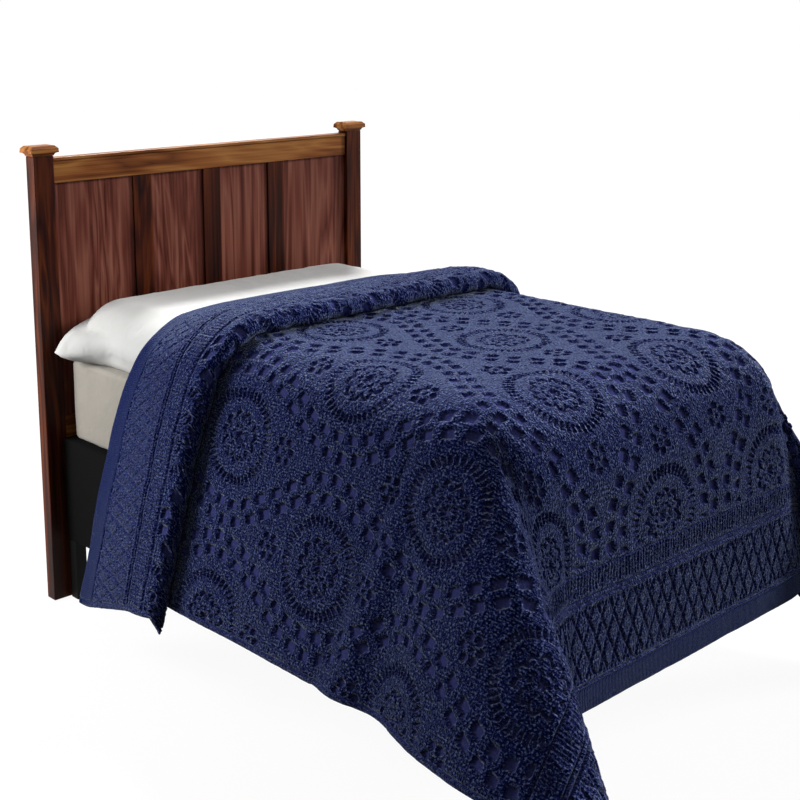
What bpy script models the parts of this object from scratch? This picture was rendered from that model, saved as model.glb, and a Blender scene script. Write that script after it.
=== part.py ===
"""Chenille bedspread draped over a plain bed with a panelled headboard.

Metres, +Z up. The bed lies along Y with its head at +Y, X runs across it, and it stands on Z = 0.
While modelling, X = 0 is the bed's middle and Y = 0 is the front face of the headboard's posts.
At the end every object is moved so that the origin lies under the middle of the whole object.
"""

import math
from collections import namedtuple

import bmesh
import bpy
import numpy as np

GAP = 0.0003  # between pieces that touch

# Bed
BED_WIDTH = 1.20
MATTRESS_LENGTH = 1.872
MATTRESS_THICK = 0.26
MATTRESS_EDGE = 0.016
MATTRESS_HEAD_CORNER = 0.045
MATTRESS_FOOT_CORNER = 0.170
BASE_OVERHANG = 0.022  # its sides stand out past the mattress, to meet the posts
BASE_FOOT_INSET = 0.045
BASE_HEIGHT = 0.545
LEG_HEIGHT = 0.200
LEG_SIZE = 0.040
LEG_BEVEL = 0.003
BASE_CORNER = 0.080
BASE_EDGE = 0.006
HEAD_CLEARANCE = 0.012  # mattress to posts

# Topper: the padded layer between the mattress and the cloth
TOPPER_CLEARANCE = 0.0008
TOPPER_EDGE_INSET = 0.012  # its edges round over this much before the cloth's do
TOPPER_HEAD_RADIUS = 0.10
TOPPER_WRAP = math.radians(62)  # how far its top curves over before the seam
TOPPER_SEAM_RISE = 0.040
TOPPER_SEAM_BULGE = 0.002
TOPPER_EAR = 0.120  # its head corners are pinched out past the mattress
TOPPER_EAR_REACH = 0.20

# Bedspread
SPREAD_WIDTH = 2.59
SPREAD_LENGTH = 2.79
CLOTH_THICK = 0.006
TOP_HEIGHT = 1.001  # the cloth's middle surface on the flat top
HEM_FROM_HEAD = 0.41
SIDE_RADIUS = 0.16
FOOT_RADIUS = 0.24
SIDE_LEAN = 0.262  # sine of the side drop's slope away from the bed
FOOT_LEAN = 0.030
FLAT_HALF = BED_WIDTH / 2 + 0.01 - SIDE_RADIUS
FOOT_EDGE = 1.90 - FOOT_RADIUS  # where the flat top ends, from the head

# The pleat at the head: the cloth runs up to a thick roll, back underneath it, and forward again
ROLL_RADIUS = 0.024
TUCK_RADIUS = 0.007
LIFT_ANGLE = 12.0
LIFT_RUN = 0.04
HEM_RUN = 0.02
UNDER_RUN = 0.262
ROLL_FROM_HEM = 0.45
HEAD_SHIFT = 0.120  # the pleated end lies this much towards the bed's left
SHIFT_KEPT = 0.35  # for this length from its hem, before it eases back
SHIFT_EASE = 0.50
SIDE_DRIFT = 0.045  # and its sides hang this much towards the head
HEM_DIP = 0.055  # and its hem bows this much towards the foot over the bed's edges

# Headboard
POST_WIDTH = 0.0714
POST_DEPTH = 0.047
POST_SPACING = 1.217 + POST_WIDTH
POST_HEIGHT = 1.457
POST_BEVEL = 0.003
CAP_PLATE = 0.021
CAP_COVE = 0.010
CAP_OVERHANG = 0.0115
RAIL_HEIGHT = 0.070
RAIL_DEPTH = 0.030
RAIL_RECESS = 0.008
RAIL_BELOW_CAP = 0.008
LEDGE_HEIGHT = 0.010
LEDGE_OVERHANG = 0.004
MUNTIN_WIDTH = 0.072
MUNTIN_DEPTH = 0.024
MUNTIN_SPACING = 0.280
PANEL_THICK = 0.012
BOTTOM_RAIL_Z = 0.50
BOTTOM_RAIL_HEIGHT = 0.11

Leg = namedtuple("Leg", "name x y")

# Pairs of legs under the base, from the bed's middle and from the posts' front
LEGS = (
    Leg("head", 0.602, -0.026),
    Leg("middle", 0.400, -0.820),
    Leg("foot", 0.400, -1.600),
)

Run = namedtuple("Run", "name length turn")
Fold = namedtuple("Fold", "name angle side_lean foot_lean")

# Where the surplus cloth of a corner goes. Each row is one straight line down the cloth from the
# corner of the flat top: its angle in the flat cloth from the side's direction towards the foot,
# and the sines of its slopes away from the side and away from the foot.
LEFT_FOLDS = (
    Fold("side", -16.0, 0.252, -0.276),
    Fold("ridge", -9.0, 0.300, -0.165),
    Fold("hollow", -2.0, 0.262, -0.055),
    Fold("flank", 13.0, 0.370, 0.190),
    Fold("belly", 31.0, 0.405, 0.490),
    Fold("shoulder", 40.0, 0.330, 0.600),
    Fold("crest", 46.0, 0.240, 0.620),
    Fold("turn", 54.0, 0.150, 0.530),
    Fold("back", 68.0, 0.070, 0.330),
    Fold("tuck", 82.0, -0.020, 0.120),
    Fold("foot", 95.0, -0.087, 0.030),
)
RIGHT_FOLDS = (
    Fold("side", -18.0, 0.249, -0.309),
    Fold("side_flank", -6.0, 0.390, -0.140),
    Fold("side_crest", 7.0, 0.520, 0.020),
    Fold("side_turn", 17.0, 0.385, 0.120),
    Fold("valley", 27.0, 0.225, 0.160),
    Fold("back", 36.0, 0.270, 0.310),
    Fold("crest", 44.0, 0.380, 0.380),
    Fold("brow", 52.0, 0.475, 0.290),
    Fold("flank", 60.0, 0.440, 0.160),
    Fold("tuck", 68.0, 0.320, 0.070),
    Fold("foot", 76.0, 0.242, 0.029),
)
FOLD_BLEND = 4.0  # degrees on each side of a corner's first and last lines


# ---------------------------------------------------------------- the draped cloth


def pleat_runs():
    """The cloth's path along the bed, from its head hem, as straight runs and arcs."""
    lift = math.radians(LIFT_ANGLE)
    arc_rise = LIFT_RUN * (1 - math.cos(lift)) / lift
    ramp = (2 * ROLL_RADIUS + 2 * TUCK_RADIUS - 2 * arc_rise) / math.sin(lift)
    arc_run = LIFT_RUN * math.sin(lift) / lift
    crown = ROLL_FROM_HEM - HEM_RUN - 2 * arc_run - ramp * math.cos(lift) - ROLL_RADIUS
    return (
        Run("hem", HEM_RUN, 0),
        Run("lift", LIFT_RUN, LIFT_ANGLE),
        Run("ramp", ramp, 0),
        Run("ease", LIFT_RUN, -LIFT_ANGLE),
        Run("crown", crown, 0),
        Run("roll", math.pi * ROLL_RADIUS, -180),
        Run("under", UNDER_RUN, 0),
        Run("tuck", math.pi * TUCK_RADIUS, 180),
        Run("field", SPREAD_LENGTH, 0),
    )


def pleat_profile(along):
    """Distance from the head hem along the bed, and height over the flat top."""
    forward = np.zeros_like(along)
    lift = np.zeros_like(along)
    start, heading = 0.0, 0.0
    for run in pleat_runs():
        reach = np.clip(along - start, 0, run.length)
        if run.turn:
            bend = math.radians(run.turn) / run.length
            forward += (np.sin(heading + bend * reach) - math.sin(heading)) / bend
            lift += (math.cos(heading) - np.cos(heading + bend * reach)) / bend
        else:
            forward += reach * math.cos(heading)
            lift += reach * math.sin(heading)
        start += run.length
        heading += math.radians(run.turn)
    return forward, lift


def field_start():
    """The cloth's length from its head hem to where the tuck ends, and that point's place."""
    length = sum(run.length for run in pleat_runs()[:-1])
    forward, _ = pleat_profile(np.array([length]))
    return length, float(forward[0])


def foot_start():
    """The cloth's length from its head hem to where the flat top ends at the foot."""
    length, forward = field_start()
    return length + FOOT_EDGE - HEM_FROM_HEAD - forward


def smooth(value):
    value = np.clip(value, 0, 1)
    return value * value * (3 - 2 * value)


def fall_direction(side_lean, foot_lean):
    """Unit vectors down the cloth: outwards to the side, outwards to the foot, and up."""
    down = np.sqrt(np.clip(1 - side_lean**2 - foot_lean**2, 0.05, None))
    return np.stack([side_lean, foot_lean, -down], -1)


def fold_direction(folds, angle):
    """The way down the cloth at this flat angle, on a smooth curve through the table's rows."""
    angles = np.array([fold.angle for fold in folds])
    leans = np.array([(fold.side_lean, fold.foot_lean) for fold in folds])
    slopes = np.gradient(leans, angles, axis=0)
    angle = np.clip(angle, angles[0], angles[-1])
    row = np.clip(np.searchsorted(angles, angle, side="right") - 1, 0, len(angles) - 2)
    span = (angles[row + 1] - angles[row])[..., None]
    part = (angle[..., None] - angles[row][..., None]) / span
    lean = (
        (2 * part**3 - 3 * part**2 + 1) * leans[row]
        + (part**3 - 2 * part**2 + part) * span * slopes[row]
        + (3 * part**2 - 2 * part**3) * leans[row + 1]
        + (part**3 - part**2) * span * slopes[row + 1]
    )
    return fall_direction(lean[..., 0], lean[..., 1])


def edge_path(distance, radius, out, fall):
    """How the cloth goes on from the flat top: over the rounded edge and then straight down.
    Vectors are to the side, to the foot and up."""
    turn = np.arccos(np.clip(np.sum(out * fall, -1), -1, 1))
    across = (fall - out * np.cos(turn)[..., None]) / np.sin(turn)[..., None]
    bent = np.minimum(distance / radius, turn)
    path = (radius * np.sin(bent))[..., None] * out
    path = path + (radius * (1 - np.cos(bent)))[..., None] * across
    hanging = np.maximum(distance - radius * turn, 0)
    return path + hanging[..., None] * fall


def drape(across, along):
    """Where each point of the flat cloth lies on the bed. across runs from the middle, and
    along from the head hem."""
    across, along = np.broadcast_arrays(np.asarray(across, float), np.asarray(along, float))
    forward, lift = pleat_profile(along)
    pleated = 1 - smooth((along - ROLL_FROM_HEM) / UNDER_RUN)
    across = across - HEAD_SHIFT * (1 - smooth((along - SHIFT_KEPT) / SHIFT_EASE))
    hand = np.where(across < 0, -1.0, 1.0)
    edge = FLAT_HALF + SIDE_RADIUS / 2
    bow = HEM_DIP * np.exp(-(((np.abs(across) - edge) / 0.14) ** 2))
    forward = forward + bow * (1 - smooth(along / 0.3))
    forward = forward - SIDE_DRIFT * smooth((np.abs(across) - edge) / 0.4) * pleated
    beyond_side = np.abs(across) - FLAT_HALF
    beyond_foot = along - foot_start()
    angle = np.degrees(np.arctan2(beyond_foot, beyond_side))
    zero = np.zeros_like(along)
    to_side = np.stack([zero + 1, zero, zero], -1)
    to_foot = np.stack([zero, zero + 1, zero], -1)
    height = TOP_HEIGHT + lift

    side = edge_path(
        np.maximum(beyond_side, 0),
        SIDE_RADIUS + lift,
        to_side,
        fall_direction(zero + SIDE_LEAN, zero),
    )
    side[..., 0] += np.minimum(np.abs(across), FLAT_HALF)
    side[..., 1] += HEM_FROM_HEAD + forward
    foot = edge_path(
        np.maximum(beyond_foot, 0),
        zero + FOOT_RADIUS,
        to_foot,
        fall_direction(zero, zero + FOOT_LEAN),
    )
    foot[..., 0] += np.abs(across)
    foot[..., 1] += FOOT_EDGE

    turned = np.radians(angle)
    reach = np.hypot(beyond_side, beyond_foot)
    radius = SIDE_RADIUS * np.cos(turned) ** 2 + FOOT_RADIUS * np.sin(turned) ** 2
    out = np.stack([np.cos(turned), np.sin(turned), zero], -1)
    draped = np.where((beyond_foot > 0)[..., None], foot, side)
    for folds, sign in ((LEFT_FOLDS, -1), (RIGHT_FOLDS, 1)):
        corner = edge_path(reach, radius, out, fold_direction(folds, angle))
        corner[..., 0] += FLAT_HALF
        corner[..., 1] += FOOT_EDGE
        first, last = folds[0].angle, folds[-1].angle
        share = smooth((angle - first) / (2 * FOLD_BLEND) + 0.5)
        share = share * smooth((last - angle) / (2 * FOLD_BLEND) + 0.5)
        share = np.where(hand == sign, share, 0)[..., None]
        edge = np.where((angle > 45)[..., None], foot, side)
        draped = np.where(share > 0, edge * (1 - share) + corner * share, draped)
    draped[..., 0] *= hand
    draped[..., 1] *= -1
    draped[..., 2] += height
    return draped


def drape_normal(across, along, step=0.0005):
    """The outward unit normal of the draped cloth."""
    forwards = drape(across, along + step) - drape(across, along - step)
    sideways = drape(across + step, along) - drape(across - step, along)
    normal = np.cross(forwards, sideways)
    return normal / np.linalg.norm(normal, axis=-1)[..., None]


# ---------------------------------------------------------------- mesh helpers


def material(name, colour, roughness):
    made = bpy.data.materials.new(name)
    made.use_nodes = True
    shader = made.node_tree.nodes["Principled BSDF"]
    shader.inputs["Base Color"].default_value = (*colour, 1)
    shader.inputs["Roughness"].default_value = roughness
    shader.inputs["Metallic"].default_value = 0
    made.diffuse_color = (*colour, 1)
    return made


def object_from(name, points, faces, finish, smooth_angle=None):
    mesh = bpy.data.meshes.new(name)
    mesh.from_pydata([tuple(map(float, point)) for point in points], [], faces)
    mesh.materials.append(finish)
    if smooth_angle:
        mesh.shade_smooth()
        mesh.set_sharp_from_angle(angle=math.radians(smooth_angle))
    mesh.update()
    made = bpy.data.objects.new(name, mesh)
    bpy.context.scene.collection.objects.link(made)
    return made


def box(name, low, high, finish, bevel=0.0):
    """A box between two corners, with its edges rounded by a bevel."""
    low, high = np.array(low), np.array(high)
    mesh = bpy.data.meshes.new(name)
    shape = bmesh.new()
    bmesh.ops.create_cube(shape, size=1)
    bmesh.ops.scale(shape, vec=tuple(high - low), verts=shape.verts)
    shape.to_mesh(mesh)
    shape.free()
    mesh.materials.append(finish)
    made = bpy.data.objects.new(name, mesh)
    made.location = tuple((low + high) / 2)
    bpy.context.scene.collection.objects.link(made)
    if bevel:
        rounding = made.modifiers.new("Bevel", "BEVEL")
        rounding.width = bevel
        rounding.segments = 2
    return made


def slab(name, half_width, head, foot, low, high, head_corner, foot_corner, edge, finish):
    """An upright block with rounded corners in plan and rounded edges at its top and bottom."""
    levels = [(low + edge * (1 - math.cos(a)), edge * (1 - math.sin(a))) for a in (0, 0.5, 1.0, math.pi / 2)]
    levels += [(low + high - z, inset) for z, inset in reversed(levels)]
    steps = 8
    points = []
    for z, inset in levels:
        for quarter in range(4):
            side = 1 if quarter in (0, 3) else -1
            end, corner = (head, head_corner) if quarter in (0, 1) else (foot, foot_corner)
            inwards = -1 if end == head else 1
            for step in range(steps + 1):
                angle = (quarter + step / steps) * math.pi / 2
                x = side * (half_width - corner) + (corner - inset) * math.cos(angle)
                y = end + inwards * corner + (corner - inset) * math.sin(angle)
                points.append((x, y, z))
    ring = 4 * (steps + 1)
    faces = [tuple(reversed(range(ring)))]
    for level in range(len(levels) - 1):
        for here in range(ring):
            after = (here + 1) % ring
            start = level * ring
            faces.append((start + here, start + after, start + ring + after, start + ring + here))
    faces.append(tuple(range((len(levels) - 1) * ring, len(levels) * ring)))
    return object_from(name, points, faces, finish, smooth_angle=40)


def stations(*stretches):
    """Positions over several stretches, each given as (start, end, number of steps)."""
    marks = [np.linspace(start, end, steps + 1)[:-1] for start, end, steps in stretches]
    return np.concatenate([*marks, [stretches[-1][1]]])


def sheet_solid(name, across, along, finish):
    """The cloth as one closed sheet: a face, a back and the four hems between them."""
    v, u = np.meshgrid(along, across, indexing="ij")
    middle = drape(u, v)
    offset = drape_normal(u, v) * CLOTH_THICK / 2
    rows, columns = u.shape
    points = np.concatenate([(middle + offset).reshape(-1, 3), (middle - offset).reshape(-1, 3)])
    points[:, 2] = np.maximum(points[:, 2], 0)
    back = rows * columns

    def index(row, column):
        return row * columns + column

    faces = []
    for row in range(rows - 1):
        for column in range(columns - 1):
            a, b = index(row, column), index(row, column + 1)
            c, d = index(row + 1, column + 1), index(row + 1, column)
            if np.linalg.norm(points[a] - points[c]) < np.linalg.norm(points[b] - points[d]):
                pair = ((a, d, c), (a, c, b))
            else:
                pair = ((a, d, b), (d, c, b))
            for face in pair:
                faces.append(face)
                faces.append(tuple(corner + back for corner in reversed(face)))
    rim = [index(0, column) for column in range(columns)]
    rim += [index(row, columns - 1) for row in range(1, rows)]
    rim += [index(rows - 1, column) for column in range(columns - 2, -1, -1)]
    rim += [index(row, 0) for row in range(rows - 2, 0, -1)]
    for here, there in zip(rim, rim[1:] + rim[:1]):
        faces.append((here, there, there + back))
        faces.append((here, there + back, here + back))
    return object_from(name, points, faces, finish, smooth_angle=50)


# ---------------------------------------------------------------- pieces


def make_bedspread():
    finish = material("chenille", (0.035, 0.055, 0.16), 0.95)
    half = SPREAD_WIDTH / 2
    edge = FLAT_HALF + SIDE_RADIUS * 1.3
    flat = FLAT_HALF - HEAD_SHIFT - 0.01
    across = stations(
        (-half, -edge, 12),
        (-edge, -flat, 8),
        (-flat, FLAT_HALF, 5),
        (FLAT_HALF, edge, 6),
        (edge, half, 12),
    )
    steps = {"hem": 1, "lift": 2, "ramp": 2, "ease": 2, "crown": 1, "roll": 8, "under": 3, "tuck": 6}
    stretches = []
    start = 0.0
    for run in pleat_runs()[:-1]:
        stretches.append((start, start + run.length, steps[run.name]))
        start += run.length
    fan = foot_start() - 0.22
    foot_roll = foot_start() + FOOT_RADIUS * 1.5
    stretches.append((start, fan, 4))
    stretches.append((fan, foot_start(), 3))
    stretches.append((foot_start(), foot_roll, 8))
    stretches.append((foot_roll, SPREAD_LENGTH, 10))
    sheet_solid("bedspread", across, stations(*stretches), finish)


def topper_rim_path(beyond_x, beyond_y, radius_x, radius_y):
    """A point of the topper's curved border, from how far past the flat top it is in x and y,
    each as a share of the border's whole width. Returns the offsets in x, y and z."""
    share = max(beyond_x, beyond_y)
    if share == 0:
        return 0.0, 0.0, 0.0
    angle = math.atan2(beyond_y, beyond_x)
    radius = radius_x * math.cos(angle) ** 2 + radius_y * math.sin(angle) ** 2
    bend = share * TOPPER_WRAP
    return (
        radius_x * math.cos(angle) * math.sin(bend),
        radius_y * math.sin(angle) * math.sin(bend),
        -radius * (1 - math.cos(bend)),
    )


def make_topper():
    """A padded layer: flat on top, rounded over its sides, and drawn in to a seam and a flat back."""
    shrink = CLOTH_THICK / 2 + TOPPER_CLEARANCE
    top = TOP_HEIGHT - shrink
    bottom = BASE_HEIGHT + MATTRESS_THICK + 2 * GAP
    radius_x = SIDE_RADIUS - shrink
    half = FLAT_HALF - TOPPER_EDGE_INSET
    foot_y = -FOOT_EDGE + TOPPER_EDGE_INSET
    head_y = -HEAD_CLEARANCE - TOPPER_HEAD_RADIUS
    border, middle_x, middle_y = 7, 6, 12
    shares = [step / border for step in range(border, 0, -1)]
    columns = [(-half, share) for share in shares]
    columns += [(x, 0.0) for x in np.linspace(-half, half, middle_x + 1)]
    columns += [(half, share) for share in reversed(shares)]
    rows = [(head_y, share, TOPPER_HEAD_RADIUS) for share in shares]
    rows += [(y, 0.0, FOOT_RADIUS - shrink) for y in np.linspace(head_y, foot_y, middle_y + 1)]
    rows += [(foot_y, share, FOOT_RADIUS - shrink) for share in reversed(shares)]
    points = []
    for y, share_y, radius_y in rows:
        towards = 1 if y == head_y and share_y else -1
        for x, share_x in columns:
            dx, dy, dz = topper_rim_path(share_x, share_y, radius_x, radius_y)
            points.append((x + math.copysign(dx, x), y + towards * dy, top + dz))
    points = np.array(points)
    wide, long = len(columns), len(rows)
    faces = []
    for row in range(long - 1):
        for column in range(wide - 1):
            start = row * wide + column
            faces.append((start, start + wide, start + wide + 1, start + 1))
    rim = list(range(wide))
    rim += [row * wide + wide - 1 for row in range(1, long)]
    rim += [(long - 1) * wide + column for column in range(wide - 2, -1, -1)]
    rim += [row * wide for row in range(long - 2, 0, -1)]

    centre = np.array([0.0, (head_y + foot_y) / 2])
    corner = np.abs(points[0, :2])
    loops = [rim]
    count = len(points)
    for rise, bulge, ear in (
        (TOPPER_SEAM_RISE, TOPPER_SEAM_BULGE, 1.0),
        (TOPPER_SEAM_RISE * 0.45, -0.004, 0.7),
        (0.0, -0.022, 0.0),
    ):
        loop = []
        for place in rim:
            x, y, z = points[place]
            away = np.array([math.copysign(min(abs(x), 0.5), x) * 1.2, y - centre[1]])
            away = away / np.linalg.norm(away) if abs(y - centre[1]) > 0.75 else np.array([np.sign(x), 0])
            near = math.hypot(abs(x) - corner[0], y + corner[1]) / TOPPER_EAR_REACH
            poke = ear * TOPPER_EAR * float(smooth(1 - near)) if y > centre[1] else 0.0
            loop.append((x + away[0] * bulge + math.copysign(poke, x), y + away[1] * bulge, bottom + rise))
        points = np.concatenate([points, loop])
        loops.append(list(range(count, count + len(rim))))
        count += len(rim)
    for upper, lower in zip(loops, loops[1:]):
        for step in range(len(rim)):
            after = (step + 1) % len(rim)
            faces.append((upper[after], lower[after], lower[step], upper[step]))
    faces.append(tuple(loops[-1]))
    made = object_from("topper", points, faces, material("quilted_cotton", (0.8, 0.8, 0.78), 0.9))
    shape = bmesh.new()
    shape.from_mesh(made.data)
    bmesh.ops.recalc_face_normals(shape, faces=shape.faces)
    bmesh.ops.triangulate(shape, faces=shape.faces)
    shape.to_mesh(made.data)
    shape.free()
    made.data.shade_smooth()
    made.data.set_sharp_from_angle(angle=math.radians(50))


def make_mattress_and_base():
    half = BED_WIDTH / 2
    head = -HEAD_CLEARANCE
    foot = head - MATTRESS_LENGTH
    low = BASE_HEIGHT + GAP
    ticking = material("mattress_ticking", (0.70, 0.67, 0.62), 0.85)
    high = low + MATTRESS_THICK
    corners = (MATTRESS_HEAD_CORNER, MATTRESS_FOOT_CORNER)
    slab("mattress", half, head, foot, low, high, *corners, MATTRESS_EDGE, ticking)
    wide = half + BASE_OVERHANG
    base_foot = foot + BASE_FOOT_INSET
    dark = material("base_fabric", (0.02, 0.02, 0.022), 0.9)
    low = LEG_HEIGHT + GAP
    slab("base", wide, -GAP, base_foot, low, BASE_HEIGHT, BASE_EDGE, BASE_CORNER, BASE_EDGE, dark)


def make_legs():
    black = material("black_paint", (0.01, 0.01, 0.01), 0.6)
    reach = LEG_SIZE / 2
    for leg in LEGS:
        for name, side in (("left", -1), ("right", 1)):
            x = side * leg.x
            low = (x - reach, leg.y - reach, 0)
            high = (x + reach, leg.y + reach, LEG_HEIGHT)
            box(f"leg_{leg.name}_{name}", low, high, black, LEG_BEVEL)


def make_cap(name, x, wood):
    """A post's cap: a coved underside that widens to an overhanging plate with a worn top edge."""
    half_width, half_depth = POST_WIDTH / 2, POST_DEPTH / 2
    plate = POST_HEIGHT + GAP + CAP_COVE
    profile = [(POST_HEIGHT + GAP, 0.001)]
    for step in range(1, 5):
        angle = step / 4 * math.pi / 2
        out = 0.001 + CAP_OVERHANG * (1 - math.cos(angle))
        profile.append((POST_HEIGHT + GAP + CAP_COVE * math.sin(angle), out))
    profile.append((plate + CAP_PLATE * 0.6, CAP_OVERHANG))
    profile.append((plate + CAP_PLATE, CAP_OVERHANG - CAP_PLATE * 0.4))
    centre_y = POST_DEPTH / 2
    points = []
    for z, out in profile:
        wide, deep = half_width + out, half_depth + out
        points += [(x - wide, centre_y - deep, z), (x + wide, centre_y - deep, z)]
        points += [(x + wide, centre_y + deep, z), (x - wide, centre_y + deep, z)]
    faces = [(3, 2, 1, 0)]
    for level in range(len(profile) - 1):
        start = level * 4
        for side in range(4):
            after = (side + 1) % 4
            faces.append((start + side, start + after, start + 4 + after, start + 4 + side))
    last = (len(profile) - 1) * 4
    faces.append((last, last + 1, last + 2, last + 3))
    object_from(name, points, faces, wood)


def make_headboard():
    wood = material("stained_wood", (0.16, 0.045, 0.015), 0.35)
    panel_wood = material("panel_wood", (0.20, 0.07, 0.03), 0.4)
    inner = POST_SPACING / 2 - POST_WIDTH / 2
    for name, side in (("left", -1), ("right", 1)):
        middle = side * POST_SPACING / 2
        low = (middle - POST_WIDTH / 2, 0, 0)
        high = (middle + POST_WIDTH / 2, POST_DEPTH, POST_HEIGHT)
        box(f"post_{name}", low, high, wood, POST_BEVEL)
        make_cap(f"post_cap_{name}", middle, wood)
    reach = inner - GAP
    rail_front = RAIL_RECESS
    rail_back = rail_front + RAIL_DEPTH
    ledge_top = POST_HEIGHT - RAIL_BELOW_CAP
    rail_top = ledge_top - LEDGE_HEIGHT - GAP
    rail_low = rail_top - RAIL_HEIGHT
    box(
        "top_ledge",
        (-reach, rail_front - LEDGE_OVERHANG, rail_top + GAP),
        (reach, rail_back + LEDGE_OVERHANG, ledge_top),
        wood,
        0.002,
    )
    box("top_rail", (-reach, rail_front, rail_low), (reach, rail_back, rail_top), wood, 0.002)
    low_top = BOTTOM_RAIL_Z + BOTTOM_RAIL_HEIGHT
    box("bottom_rail", (-reach, rail_front, BOTTOM_RAIL_Z), (reach, rail_back, low_top), wood, 0.002)
    muntin_front = rail_front + (RAIL_DEPTH - MUNTIN_DEPTH) / 2
    middles = [step * MUNTIN_SPACING for step in (-1, 0, 1)]
    for number, x in enumerate(middles, 1):
        low = (x - MUNTIN_WIDTH / 2, muntin_front, low_top + GAP)
        high = (x + MUNTIN_WIDTH / 2, muntin_front + MUNTIN_DEPTH, rail_low - GAP)
        box(f"muntin_{number}", low, high, wood, 0.0015)
    edges = [-inner]
    for x in middles:
        edges += [x - MUNTIN_WIDTH / 2, x + MUNTIN_WIDTH / 2]
    edges.append(inner)
    panel_front = rail_front + (RAIL_DEPTH - PANEL_THICK) / 2
    for number, (left, right) in enumerate(zip(edges[::2], edges[1::2]), 1):
        low = (left + GAP, panel_front, low_top + GAP)
        high = (right - GAP, panel_front + PANEL_THICK, rail_low - GAP)
        box(f"panel_{number}", low, high, panel_wood)


def centre_on_floor():
    """Moves every object so that the origin is under the middle of the whole object's box."""
    bpy.context.view_layer.update()
    graph = bpy.context.evaluated_depsgraph_get()
    corners = []
    for made in bpy.data.objects:
        shape = made.evaluated_get(graph).to_mesh()
        local = np.empty(len(shape.vertices) * 3, np.float32)
        shape.vertices.foreach_get("co", local)
        world = local.reshape(-1, 3) + np.array(made.location)
        corners += [world.min(0), world.max(0)]
        made.evaluated_get(graph).to_mesh_clear()
    low, high = np.min(corners, 0), np.max(corners, 0)
    shift = -(low + high) / 2
    for made in bpy.data.objects:
        made.location.x += float(shift[0])
        made.location.y += float(shift[1])


def main():
    for old in list(bpy.data.objects):
        bpy.data.objects.remove(old, do_unlink=True)
    make_bedspread()
    make_topper()
    make_mattress_and_base()
    make_legs()
    make_headboard()
    centre_on_floor()


main()
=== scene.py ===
"""Chenille bedspread on a bed: the tufted cloth in full relief, its bedding and its headboard.

Lengths are metres. The cloth is worked out in the bed's own places, where x = 0 is the bed's middle
and y = 0 is the front face of the headboard's posts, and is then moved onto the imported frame.
"""

import math
from collections import namedtuple

import bpy
import numpy as np
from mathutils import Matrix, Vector


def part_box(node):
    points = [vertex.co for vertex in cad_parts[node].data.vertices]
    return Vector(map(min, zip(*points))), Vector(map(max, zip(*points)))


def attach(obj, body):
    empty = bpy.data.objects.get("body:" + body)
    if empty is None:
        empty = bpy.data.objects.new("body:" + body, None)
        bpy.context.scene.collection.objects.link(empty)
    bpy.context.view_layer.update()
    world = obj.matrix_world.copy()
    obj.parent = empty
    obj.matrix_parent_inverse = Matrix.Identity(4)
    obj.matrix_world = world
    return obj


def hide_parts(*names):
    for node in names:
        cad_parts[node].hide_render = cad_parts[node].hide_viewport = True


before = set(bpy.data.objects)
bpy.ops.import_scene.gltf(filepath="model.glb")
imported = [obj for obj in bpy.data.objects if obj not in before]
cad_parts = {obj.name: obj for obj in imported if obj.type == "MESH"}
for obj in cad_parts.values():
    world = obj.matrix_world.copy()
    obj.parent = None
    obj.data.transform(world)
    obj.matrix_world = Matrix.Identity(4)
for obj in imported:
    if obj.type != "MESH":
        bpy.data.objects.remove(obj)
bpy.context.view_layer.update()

# ---------------------------------------------------------------- sizes, as in the CAD

SPREAD_WIDTH = 2.59
SPREAD_LENGTH = 2.79
CLOTH_THICK = 0.006
TOP_HEIGHT = 1.001
HEM_FROM_HEAD = 0.41
SIDE_RADIUS = 0.16
FOOT_RADIUS = 0.24
SIDE_LEAN = 0.262
FOOT_LEAN = 0.030
BED_WIDTH = 1.20
FLAT_HALF = BED_WIDTH / 2 + 0.01 - SIDE_RADIUS
FOOT_EDGE = 1.90 - FOOT_RADIUS

ROLL_RADIUS = 0.024
TUCK_RADIUS = 0.007
LIFT_ANGLE = 12.0
LIFT_RUN = 0.04
HEM_RUN = 0.02
UNDER_RUN = 0.262
ROLL_FROM_HEM = 0.45
HEAD_SHIFT = 0.120
SHIFT_KEPT = 0.35
SHIFT_EASE = 0.50
SIDE_DRIFT = 0.045
HEM_DIP = 0.055

HEAD_CLEARANCE = 0.012
MATTRESS_EDGE = 0.016
MATTRESS_HEAD_CORNER = 0.045
MATTRESS_FOOT_CORNER = 0.170
TOPPER_CLEARANCE = 0.0008
TOPPER_EDGE_INSET = 0.012
TOPPER_HEAD_RADIUS = 0.10
TOPPER_WRAP = math.radians(62)
TOPPER_SEAM_RISE = 0.040
TOPPER_SEAM_BULGE = 0.002
TOPPER_EAR = 0.120
TOPPER_EAR_REACH = 0.20

Run = namedtuple("Run", "name length turn")
Fold = namedtuple("Fold", "name angle side_lean foot_lean")

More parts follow.
